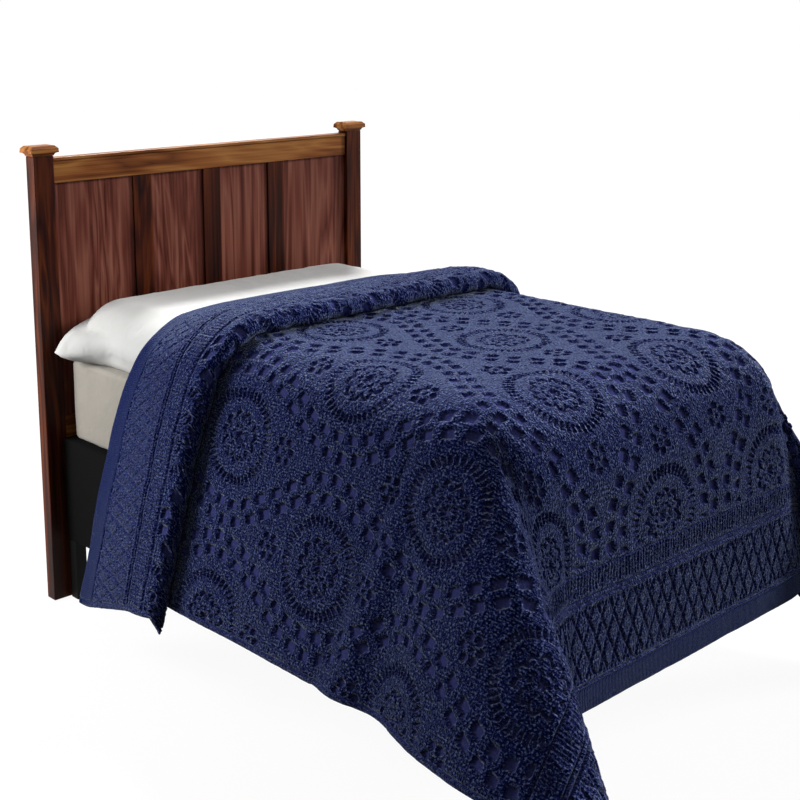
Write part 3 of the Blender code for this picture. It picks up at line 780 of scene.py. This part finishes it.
def make_mattress(finish):
    """The mattress under its fitted sheet, with rounded edges and slack, shallow creases."""
    half = BED_WIDTH / 2
    head, foot = -HEAD_CLEARANCE, -HEAD_CLEARANCE - MATTRESS_LENGTH
    edge, levels = MATTRESS_EDGE, []
    for step in range(7):
        turn = step / 6 * math.pi / 2
        levels.append((edge * (1 - math.cos(turn)), edge * (1 - math.sin(turn))))
    thick = MATTRESS_HIGH - MATTRESS_LOW
    middle = [(z, 0.0) for z in np.linspace(edge, thick - edge, 12)[1:-1]]
    levels = levels + middle + [(thick - z, inset) for z, inset in reversed(levels)]
    ends = ((1, head, MATTRESS_HEAD_CORNER), (-1, head, MATTRESS_HEAD_CORNER))
    ends += ((-1, foot, MATTRESS_FOOT_CORNER), (1, foot, MATTRESS_FOOT_CORNER))
    plan = []
    for quarter, (side, end, corner) in enumerate(ends):
        inwards = -1 if end == head else 1
        for step in range(9):
            angle = (quarter + step / 8) * math.pi / 2
            middle_point = (side * (half - corner), end + inwards * corner)
            plan.append((middle_point, corner, angle))
        following = ends[(quarter + 1) % 4]
        ray = np.array([math.cos(angle), math.sin(angle)])
        start = np.array(middle_point) + corner * ray
        next_side, next_end, next_corner = following
        next_in = -1 if next_end == head else 1
        next_middle = (next_side * (half - next_corner), next_end + next_in * next_corner)
        stop_at = np.array(next_middle) + next_corner * ray
        gap = np.linalg.norm(stop_at - start)
        for part in np.linspace(0, 1, max(2, round(gap / MATTRESS_CELL)) + 1)[1:-1]:
            plan.append((tuple(start * (1 - part) + stop_at * part), 0.0, angle))
    points, faces = [], []
    ring = len(plan)
    for z, inset in levels:
        for (x, y), corner, angle in plan:
            reach = corner - inset
            px, py = x + reach * math.cos(angle), y + reach * math.sin(angle)
            ripple = 0.0016 * float(noise(px + py, z * 0.35, 0.035, 31)) - 0.0018
            ripple += 0.0012 * float(noise(px - py, z, 0.11, 32))
            px, py = px + ripple * math.cos(angle), py + ripple * math.sin(angle)
            points.append((px, py, MATTRESS_LOW + z))
    for level in range(len(levels) - 1):
        start = level * ring
        for here in range(ring):
            after = (here + 1) % ring
            faces.append((start + here, start + after, start + ring + after, start + ring + here))
    faces.append(tuple(reversed(range(ring))))
    faces.append(tuple(range((len(levels) - 1) * ring, len(levels) * ring)))
    piece = mesh_piece("mattress_sheeted", points, faces, finish, smooth_angle=50)
    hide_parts("mattress")


# ---------------------------------------------------------------- materials


class Nodes:
    """Short calls for a material's node tree."""

    def __init__(self, name):
        self.material = bpy.data.materials.new(name)
        self.material.use_nodes = True
        self.tree = self.material.node_tree
        self.shader = self.tree.nodes["Principled BSDF"]

    def add(self, kind, **settings):
        node = self.tree.nodes.new(kind)
        for key, value in settings.items():
            setattr(node, key, value)
        return node

    def attribute(self, name):
        """Three values that the mesh holds at each point."""
        settings = {"attribute_type": "GEOMETRY", "attribute_name": name}
        return self.add("ShaderNodeAttribute", **settings).outputs["Vector"]

    def split(self, vector):
        node = self.add("ShaderNodeSeparateXYZ")
        self.link(vector, node.inputs[0])
        return node.outputs

    def wave(self, place, pitch):
        return self.math("SINE", self.math("MULTIPLY", place, 2 * math.pi / pitch))

    def link(self, source, target):
        self.tree.links.new(source, target)

    def scaled(self, vector, scale):
        node = self.add("ShaderNodeVectorMath", operation="MULTIPLY")
        self.link(vector, node.inputs[0])
        node.inputs[1].default_value = scale
        return node.outputs[0]

    def noise(self, vector, scale, detail=2.0, roughness=0.5, distortion=0.0):
        node = self.add("ShaderNodeTexNoise")
        self.link(vector, node.inputs["Vector"])
        node.inputs["Scale"].default_value = scale
        node.inputs["Detail"].default_value = detail
        node.inputs["Roughness"].default_value = roughness
        node.inputs["Distortion"].default_value = distortion
        return node.outputs["Fac"]

    def math(self, operation, a, b=None):
        node = self.add("ShaderNodeMath", operation=operation)
        for socket, value in zip(node.inputs, (a, b)):
            if value is None:
                continue
            if isinstance(value, (int, float)):
                socket.default_value = value
            else:
                self.link(value, socket)
        return node.outputs[0]

    def ramp(self, value, stops):
        node = self.add("ShaderNodeValToRGB")
        self.link(value, node.inputs["Fac"])
        ramp = node.color_ramp
        while len(ramp.elements) < len(stops):
            ramp.elements.new(0.5)
        for element, (place, colour) in zip(ramp.elements, stops):
            element.position = place
            element.color = (*colour, 1)
        return node.outputs["Color"]

    def mix(self, share, a, b):
        node = self.add("ShaderNodeMix", data_type="RGBA")
        for socket, value in ((node.inputs[0], share), (node.inputs[6], a), (node.inputs[7], b)):
            if isinstance(value, (int, float)):
                socket.default_value = value
            elif isinstance(value, tuple):
                socket.default_value = (*value, 1)
            else:
                self.link(value, socket)
        return node.outputs[2]

    def bump(self, height, strength, distance, under=None):
        node = self.add("ShaderNodeBump")
        self.link(height, node.inputs["Height"])
        node.inputs["Strength"].default_value = strength
        node.inputs["Distance"].default_value = distance
        if under is not None:
            self.link(under, node.inputs["Normal"])
        return node.outputs["Normal"]


def chenille():
    """Navy tufts with painted shade between them and partly painted highlights on their tips, over
    a flat and paler ground, with ribbed hems.
    """
    n = Nodes("chenille_pile")
    place = n.attribute("cloth")
    across, _, bare = n.split(place)
    hem, rungs, border = n.split(n.attribute("trim"))
    flat = n.scaled(place, (1, 1, 0))
    wobble = n.noise(flat, 48, 1.0, 0.5)
    phase = n.math("MULTIPLY", across, 2 * math.pi / ROW_PITCH)
    phase = n.math("ADD", phase, n.math("MULTIPLY", wobble, 9.0))
    row = n.math("MULTIPLY", n.math("SINE", phase), 0.028)
    tuft = n.noise(n.scaled(place, (1, 0.85, 0)), 185, 2.0, 0.62)
    grain = n.noise(flat, 480, 1.0, 0.5)
    patch = n.noise(flat, 7, 2.0, 0.5)
    pile = n.math("ADD", n.math("MULTIPLY", tuft, 0.78), n.math("MULTIPLY", grain, 0.22))
    pile = n.math("ADD", pile, row)
    # Painted shade and highlight, over random tone: the tufts' colour follows the same noise as
    # their bump, near black low between them and pale on their tips.
    tuft_painted_shade_and_highlight = n.ramp(
        pile,
        [
            (0.38, (0.0002, 0.0004, 0.0120)),
            (0.46, (0.0022, 0.0036, 0.0480)),
            (0.54, (0.0190, 0.0270, 0.1500)),
            (0.64, (0.2000, 0.2700, 0.5000)),
        ],
    )
    # Random patches flatten the tufts' tone towards an even navy, like worn pile; elsewhere the
    # tufts keep their painted shade.
    worn_tufts_with_painted_shade = n.mix(n.math("MULTIPLY", patch, 0.2), tuft_painted_shade_and_highlight, (0.021, 0.029, 0.150))
    base = n.ramp(grain, [(0.3, (0.034, 0.038, 0.150)), (0.7, (0.066, 0.074, 0.230))])
    share = n.math("SUBTRACT", 0.88, n.math("MULTIPLY", border, 0.30))
    colour = n.mix(n.math("MULTIPLY", bare, share), worn_tufts_with_painted_shade, base)
    # The hem's tone varies at random with the grain and darkens in the troughs of its ribs, which
    # is painted shade.
    rib = n.math("ADD", n.math("MULTIPLY", n.wave(across, HEM_RIB), 0.22), grain)
    hem_tone_with_rib_shade = n.ramp(rib, [(0.30, (0.005, 0.009, 0.060)), (0.75, (0.026, 0.040, 0.160))])
    colour = n.mix(n.math("MULTIPLY", hem, 0.9), colour, hem_tone_with_rib_shade)
    # Painted shade: the colour darkens along the ladder's rungs, where the relief dips into
    # grooves.
    rung = n.math("MULTIPLY", n.math("MULTIPLY", n.wave(across, LADDER_RUNG), rungs), 0.08)
    rung_groove_painted_shade = n.math("MULTIPLY", n.math("MAXIMUM", rung, 0.0), 1.3)
    colour = n.mix(rung_groove_painted_shade, colour, (0.008, 0.012, 0.060))
    n.link(colour, n.shader.inputs["Base Color"])
    n.shader.inputs["Roughness"].default_value = 1.0
    n.shader.inputs["Specular IOR Level"].default_value = 0.0
    n.shader.inputs["Sheen Weight"].default_value = 0.48
    n.shader.inputs["Sheen Roughness"].default_value = 0.25
    n.shader.inputs["Sheen Tint"].default_value = (0.74, 0.86, 0.82, 1)
    level = n.math("MAXIMUM", n.math("MULTIPLY", bare, 0.75), n.math("MULTIPLY", hem, 0.8))
    relief = n.math("MULTIPLY", pile, n.math("SUBTRACT", 1.0, level))
    relief = n.math("ADD", relief, n.math("MULTIPLY", n.math("MULTIPLY", rib, hem), 0.25))
    relief = n.math("SUBTRACT", relief, rung)
    n.link(n.bump(relief, 1.0, 0.011), n.shader.inputs["Normal"])
    return n.material


def cotton(name, colours, weave, strength):
    """Plain woven cotton: fine crossing threads and faint mottling."""
    n = Nodes(name)
    place = n.add("ShaderNodeTexCoord").outputs["Object"]
    mottle = n.math("MULTIPLY", n.noise(place, 14, 3.0, 0.6), 0.8)
    n.link(n.mix(mottle, *colours), n.shader.inputs["Base Color"])
    n.shader.inputs["Roughness"].default_value = 0.9
    n.shader.inputs["Specular IOR Level"].default_value = 0.2
    n.shader.inputs["Sheen Weight"].default_value = 0.15
    warp = n.noise(n.scaled(place, (1, 0.1, 0.1)), weave, 1.0)
    weft = n.noise(n.scaled(place, (0.1, 1, 1)), weave, 1.0)
    threads = n.math("ADD", warp, weft)
    soft = n.noise(place, 22, 2.0, 0.5, 0.4)
    normal = n.bump(soft, 0.5, 0.006)
    n.link(n.bump(threads, strength, 0.0006, normal), n.shader.inputs["Normal"])
    return n.material


def wood(name, grain_along, stain, gloss=WOOD_GLOSS):
    """Stained wood with its grain along one axis: long streaks, growth bands and pores."""
    n = Nodes(name)
    place = n.add("ShaderNodeTexCoord").outputs["Object"]
    squeeze = tuple(0.09 if axis == grain_along else 1.0 for axis in range(3))
    long_place = n.scaled(place, squeeze)
    warp = n.noise(long_place, 9, 3.0, 0.55, 0.6)
    bands = n.math("FRACT", n.math("MULTIPLY", warp, 7.0))
    bands = n.math("ABSOLUTE", n.math("SUBTRACT", bands, 0.5))
    streaks = n.noise(n.scaled(place, tuple(s * s for s in squeeze)), 120, 3.0, 0.6)
    pores = n.noise(n.scaled(place, tuple(0.02 if s < 1 else 1 for s in squeeze)), 520, 1.0, 0.5)
    value = n.math("ADD", n.math("MULTIPLY", bands, 0.75), n.math("MULTIPLY", streaks, 0.65))
    tone = n.ramp(value, [(0.22, stain.dark), (0.5, stain.mid), (0.82, stain.light)])
    patch = n.noise(place, 3.2, 2.0, 0.5)
    tone = n.mix(n.math("MULTIPLY", patch, 0.45), tone, stain.dark)
    n.link(tone, n.shader.inputs["Base Color"])
    rough = n.math("ADD", n.math("MULTIPLY", streaks, 0.2), gloss - 0.1)
    n.link(rough, n.shader.inputs["Roughness"])
    n.shader.inputs["Specular IOR Level"].default_value = 0.10
    n.link(n.bump(n.math("ADD", pores, streaks), 0.25, 0.0008), n.shader.inputs["Normal"])
    return n.material


def plain_cover():
    """Dark woven cover of the bed's base."""
    n = Nodes("base_cover")
    place = n.add("ShaderNodeTexCoord").outputs["Object"]
    weave = n.noise(place, 700, 1.0)
    tone = n.ramp(weave, [(0.3, (0.001, 0.001, 0.0012)), (0.7, (0.003, 0.003, 0.0035))])
    n.link(tone, n.shader.inputs["Base Color"])
    n.shader.inputs["Roughness"].default_value = 0.95
    n.shader.inputs["Specular IOR Level"].default_value = 0.1
    n.link(n.bump(weave, 0.4, 0.0008), n.shader.inputs["Normal"])
    return n.material


def finish_headboard():
    """Each wooden piece gets its grain along its own length."""
    across = wood("stained_wood_across", 0, RAIL_STAIN)
    # The uprights' darker stain is partly painted shade.
    upright = wood("upright_wood_stain_with_painted_shade", 2, POST_STAIN_WITH_PAINTED_SHADE)
    panel = wood("panel_wood_upright", 2, PANEL_STAIN)
    for node in ("top_rail", "top_ledge", "bottom_rail", "post_cap_left", "post_cap_right"):
        set_finish(node, across)
    for node in ("post_left", "post_right", "muntin_1", "muntin_2", "muntin_3"):
        set_finish(node, upright)
    for node in ("panel_1", "panel_2", "panel_3", "panel_4"):
        set_finish(node, panel)


def finish_base():
    """The plain box under the mattress and its painted legs."""
    set_finish("base", plain_cover())
    paint = wood("black_paint", 2, LEG_PAINT, PAINT_GLOSS)
    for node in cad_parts:
        if node.startswith("leg_"):
            set_finish(node, paint)


def set_finish(node, finish):
    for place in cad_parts[node].material_slots:
        place.material = finish


# ---------------------------------------------------------------- stage, light and camera


def make_floor():
    """A pale floor that mostly glows by itself, so that it meets the white backdrop unseen."""
    mesh = bpy.data.meshes.new("floor")
    signs = ((-1, -1), (1, -1), (1, 1), (-1, 1))
    corners = [(x * FLOOR_HALF, y * FLOOR_HALF, 0) for x, y in signs]
    mesh.from_pydata(corners, [], [(0, 1, 2, 3)])
    floor = bpy.data.objects.new("floor", mesh)
    floor.location.z = -FLOOR_BELOW
    bpy.context.scene.collection.objects.link(floor)
    finish = Nodes("pale_floor")
    finish.shader.inputs["Base Color"].default_value = (FLOOR_TONE, FLOOR_TONE, FLOOR_TONE, 1)
    finish.shader.inputs["Roughness"].default_value = 0.9
    finish.shader.inputs["Specular IOR Level"].default_value = 0.0
    finish.shader.inputs["Emission Color"].default_value = (1, 1, 1, 1)
    finish.shader.inputs["Emission Strength"].default_value = FLOOR_GLOW
    mesh.materials.append(finish.material)
    floor.visible_diffuse = False


def add_lamp(data, towards, place=(0, 0, 0)):
    lamp = bpy.data.objects.new(data.name, data)
    lamp.location = place
    lamp.rotation_euler = Vector(towards).to_track_quat("Z", "Y").to_euler()
    bpy.context.scene.collection.objects.link(lamp)


def make_lights():
    """Plain soft white light, the same on every piece."""
    for sun in SUNS:
        data = bpy.data.lights.new(sun.name, "SUN")
        data.energy = sun.strength
        data.angle = math.radians(sun.angle)
        add_lamp(data, sun.towards)
    data = bpy.data.lights.new("left", "AREA")
    data.energy = SOFTBOX_POWER
    data.size = SOFTBOX_SIZE
    head = Vector((BED_X, BED_Y, MATTRESS_HIGH))
    place, target = head + Vector(SOFTBOX_PLACE), head + Vector(SOFTBOX_TARGET)
    add_lamp(data, place - target, place)


def make_backdrop():
    """White behind everything. It casts no light, so the lamps alone shape the cloth."""
    world = bpy.data.worlds.new("studio")
    bpy.context.scene.world = world
    world.use_nodes = True
    background = world.node_tree.nodes["Background"]
    background.inputs["Color"].default_value = (1.0, 1.0, 1.0, 1)
    background.inputs["Strength"].default_value = 1.0
    world.cycles_visibility.diffuse = False
    world.cycles_visibility.glossy = False
    bpy.context.scene.view_settings.view_transform = "Standard"


def make_camera():
    data = bpy.data.cameras.new("camera")
    data.lens = CAMERA_LENS
    data.sensor_width = 36
    data.shift_y = CAMERA_SHIFT
    camera = bpy.data.objects.new("camera", data)
    x, y, z = CAMERA_PLACE
    camera.location = (BED_X + x, BED_Y + y, z)
    camera.rotation_euler = (math.pi / 2 - CAMERA_PITCH, 0, -CAMERA_HEADING)
    bpy.context.scene.collection.objects.link(camera)
    bpy.context.scene.camera = camera


# ---------------------------------------------------------------- the scene

make_camera()
make_bedspread(chenille())
make_topper(cotton("topper_cotton", TOPPER_COTTON, 900, 0.3))
make_mattress(cotton("mattress_cotton", MATTRESS_COTTON, 700, 0.5))
finish_headboard()
finish_base()
make_floor()
make_lights()
make_backdrop()
